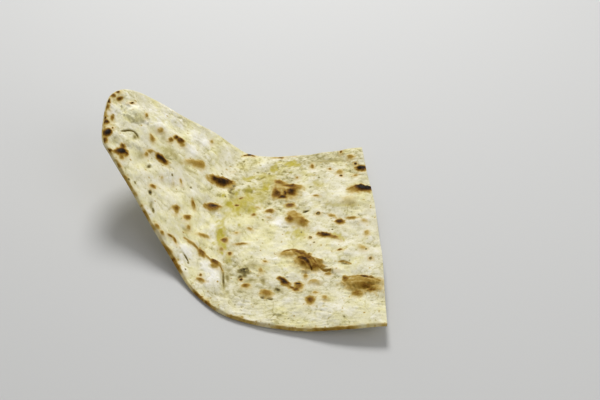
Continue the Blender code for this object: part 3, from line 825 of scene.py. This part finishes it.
class Nodes:
    """Short ways to add and join shader nodes."""

    def __init__(self, material):
        material.use_nodes = True
        self.tree = material.node_tree
        self.shader = self.tree.nodes["Principled BSDF"]
        self.places = self.add("ShaderNodeTexCoord").outputs["Object"]

    def add(self, kind, **settings):
        node = self.tree.nodes.new(kind)
        for name, value in settings.items():
            setattr(node, name, value)
        return node

    def join(self, value, socket):
        if isinstance(value, bpy.types.NodeSocket):
            self.tree.links.new(value, socket)
        else:
            socket.default_value = value

    def math(self, operation, first, second=0.0, clamp=False):
        node = self.add("ShaderNodeMath", operation=operation, use_clamp=clamp)
        self.join(first, node.inputs[0])
        self.join(second, node.inputs[1])
        return node.outputs[0]

    def value(self, name):
        return self.add("ShaderNodeAttribute", attribute_name=name).outputs["Fac"]

    def noise(self, millimetres, detail=3.0, rough=0.55, stretch=(1, 1, 1), turn=0.0):
        mapping = self.add("ShaderNodeMapping", vector_type="TEXTURE")
        mapping.inputs["Scale"].default_value = stretch
        mapping.inputs["Rotation"].default_value = (0.0, 0.0, turn)
        self.join(self.places, mapping.inputs["Vector"])
        node = self.add("ShaderNodeTexNoise")
        self.join(mapping.outputs[0], node.inputs["Vector"])
        node.inputs["Scale"].default_value = 1.0 / (millimetres * MM)
        node.inputs["Detail"].default_value = detail
        node.inputs["Roughness"].default_value = rough
        return node.outputs["Fac"]

    def mix(self, share, first, second, way="MIX"):
        node = self.add("ShaderNodeMix", data_type="RGBA", blend_type=way)
        self.join(share, node.inputs[0])
        self.join(first, node.inputs[6])
        self.join(second, node.inputs[7])
        return node.outputs[2]

    def blend(self, share, first, second):
        node = self.add("ShaderNodeMix", data_type="FLOAT")
        self.join(share, node.inputs[0])
        self.join(first, node.inputs[2])
        self.join(second, node.inputs[3])
        return node.outputs[0]

    def span(self, value, low, high, to_low=0.0, to_high=1.0):
        node = self.add("ShaderNodeMapRange")
        self.join(value, node.inputs[0])
        for place, number in zip((1, 2, 3, 4), (low, high, to_low, to_high)):
            node.inputs[place].default_value = number
        return node.outputs[0]

    def ramp(self, value, stops):
        node = self.add("ShaderNodeValToRGB")
        self.join(value, node.inputs[0])
        band = node.color_ramp
        while len(band.elements) < len(stops):
            band.elements.new(0.5)
        for element, (place, shade) in zip(band.elements, stops):
            element.position = place
            element.color = shade
        return node.outputs[0]


DOUGH = [
    (0.00, colour(146, 136, 88)),
    (0.23, colour(186, 177, 131)),
    (0.42, colour(211, 204, 166)),
    (0.56, colour(226, 220, 188)),
    (0.75, colour(236, 231, 207)),
    (1.00, colour(250, 247, 236)),
]
YELLOWED = (1.0, 0.985, 0.74, 1.0)
CRUMB = [
    (0.0, colour(214, 201, 156)),
    (0.5, colour(232, 222, 186)),
    (1.0, colour(246, 239, 214)),
]
GHEE_GOLD = colour(186, 172, 62)
STAIN = colour(206, 172, 96)
BROWNING = [
    (0.00, colour(226, 216, 172)),
    (0.10, colour(210, 192, 130)),
    (0.22, colour(189, 162, 91)),
    (0.34, colour(168, 137, 61)),
    (0.46, colour(146, 110, 35)),
    (0.60, colour(118, 80, 12)),
    (0.74, colour(84, 53, 4)),
    (0.88, colour(50, 29, 1)),
    (1.00, colour(24, 12, 0)),
]
# Colours for the shade value, olive through grey to near black: painted shade, and grey-black smudges of the crust.
PAINTED_SHADE_AND_SOOT = [
    (0.0, colour(198, 188, 134)),
    (0.40, colour(168, 155, 96)),
    (0.70, colour(124, 111, 64)),
    (1.0, colour(52, 44, 18)),
]
SPLIT = [
    (0.0, colour(190, 178, 118)),
    (0.45, colour(146, 132, 74)),
    (1.0, colour(62, 46, 10)),
]


def bread_finish():
    """Baked crust: cream dough mottled with olive and flour white and with painted light and shade from the tone
    and shade values, browned by the toast value, yellowed and smoothed by ghee, with fine grain in the bump."""
    material = bpy.data.materials.new("baked crust")
    n = Nodes(material)
    broad = n.noise(20.0, 2.0, 0.5)
    middle = n.noise(7.0, 4.0, 0.6)
    fine = n.noise(2.4, 5.0, 0.7)
    lines = n.noise(2.4, 5.0, 0.65, stretch=(2.5, 1.0, 1.25))
    wing_lines = n.noise(2.4, 5.0, 0.65, stretch=(2.5, 1.0, 1.2), turn=WING_GRAIN)
    lines = n.blend(n.value("panel"), wing_lines, lines)
    grain = n.noise(0.8, 3.0, 0.6)

    # The tone value carries painted light and shade besides the dough's own mottling.
    tone = n.math("ADD", n.value("tone"), 0.65)
    for noise, weight in ((broad, 0.5), (middle, 0.6), (fine, 0.5), (lines, 0.55), (grain, 0.3)):
        tone = n.math("ADD", tone, n.math("MULTIPLY", n.math("SUBTRACT", noise, 0.5), weight))
    pits = n.span(n.noise(1.5, 1.0, 0.5), 0.64, 0.76, 0.0, 0.26)
    base = n.ramp(n.math("SUBTRACT", tone, pits), DOUGH)
    warmth = n.math("ADD", n.span(n.noise(12.0, 3.0, 0.6), 0.42, 0.68), n.value("warmth"), clamp=True)
    base = n.mix(warmth, base, YELLOWED, "MULTIPLY")
    base = n.mix(n.value("crumb"), base, n.ramp(n.span(fine, 0.3, 0.7), CRUMB))
    # Painted shade in hollows, creases, under puffs and in the cut face's pores, and grey-black smudges, from the
    # shade value.
    shade = n.math("MULTIPLY", n.value("shade"), n.span(fine, 0.3, 0.6, 0.85, 1.1), clamp=True)
    base = n.mix(n.span(shade, 0.0, 0.55), base, n.ramp(shade, PAINTED_SHADE_AND_SOOT))
    stained = n.math("MULTIPLY", n.value("halo"), n.span(fine, 0.3, 0.65, 0.3, 0.75), clamp=True)
    base = n.mix(stained, base, STAIN)

    ghee = n.math("MULTIPLY", n.value("ghee"), n.span(fine, 0.3, 0.6, 0.7, 1.3), clamp=True)
    base = n.mix(ghee, base, GHEE_GOLD)

    toast = n.value("toast")
    uneven_bake = n.math("SUBTRACT", n.math("ADD", fine, lines), 1.0)
    uneven_bake = n.math("MULTIPLY", uneven_bake, n.span(toast, 0.0, 0.5, 0.0, 0.6))
    baked = n.math("ADD", toast, uneven_bake, clamp=True)
    base = n.mix(n.span(baked, 0.02, 0.24), base, n.ramp(baked, BROWNING))
    crack = n.value("crack")
    base = n.mix(n.span(crack, 0.0, 0.5), base, n.ramp(crack, SPLIT))
    n.join(base, n.shader.inputs["Base Color"])

    rough = n.math("SUBTRACT", n.span(fine, 0.3, 0.7, 0.62, 0.78), n.math("MULTIPLY", ghee, 0.30))
    rough = n.math("SUBTRACT", rough, n.math("MULTIPLY", toast, 0.15))
    n.join(rough, n.shader.inputs["Roughness"])
    n.shader.inputs["Specular IOR Level"].default_value = 0.12

    bump = n.add("ShaderNodeBump")
    bump.inputs["Distance"].default_value = 0.25 * MM
    bump.inputs["Strength"].default_value = 0.7
    n.join(n.math("ADD", grain, n.math("MULTIPLY", lines, 0.8)), bump.inputs["Height"])
    n.join(bump.outputs[0], n.shader.inputs["Normal"])
    return material


# ---------------------------------------------------------------- table, light and camera
def make_floor():
    corners = np.array([(-1, -1, 0), (1, -1, 0), (1, 1, 0), (-1, 1, 0)]) * 4.0
    mesh = bpy.data.meshes.new("table top")
    mesh.from_pydata(corners.tolist(), [], [(0, 1, 2, 3)])
    floor = bpy.data.objects.new("table_top", mesh)
    bpy.context.scene.collection.objects.link(floor)
    material = bpy.data.materials.new("pale table")
    material.use_nodes = True
    shader = material.node_tree.nodes["Principled BSDF"]
    shader.inputs["Base Color"].default_value = (0.62, 0.62, 0.61, 1.0)
    shader.inputs["Roughness"].default_value = 0.8
    mesh.materials.append(material)


def aim(obj, place, target):
    """Puts an object at a place, looking at a target."""
    from mathutils import Vector

    obj.location = Vector(place)
    obj.rotation_euler = (Vector(target) - Vector(place)).to_track_quat("-Z", "Y").to_euler()


def add_light(name, place, size, watts, shade=(1.0, 1.0, 1.0)):
    data = bpy.data.lights.new(name, "AREA")
    data.shape = "DISK"
    data.size = size
    data.energy = watts
    data.color = shade
    light = bpy.data.objects.new(name, data)
    bpy.context.scene.collection.objects.link(light)
    aim(light, place, (0.0, 0.0, 0.02))


def make_light():
    world = bpy.data.worlds.new("studio")
    world.use_nodes = True
    world.node_tree.nodes["Background"].inputs[0].default_value = (1.0, 1.0, 1.0, 1.0)
    world.node_tree.nodes["Background"].inputs[1].default_value = 0.32
    bpy.context.scene.world = world
    add_light("key", (0.0, 0.72, 0.88), 0.4, 9.5)
    add_light("fill", (0.8, -0.5, 0.8), 0.9, 2.5)


def make_camera():
    data = bpy.data.cameras.new("camera")
    data.lens = 60.0
    data.sensor_width = 36.0
    camera = bpy.data.objects.new("camera", data)
    bpy.context.scene.collection.objects.link(camera)
    aim(camera, (0.0375, -0.434, 0.482), (0.0375, 0.0314, 0.0))
    bpy.context.scene.camera = camera


def main():
    scene = bpy.context.scene
    scene.view_settings.view_transform = "Standard"
    bread = make_bread()
    bread.data.materials.append(bread_finish())
    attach(bread, "root")
    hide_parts("naan")
    make_floor()
    make_light()
    make_camera()


main()
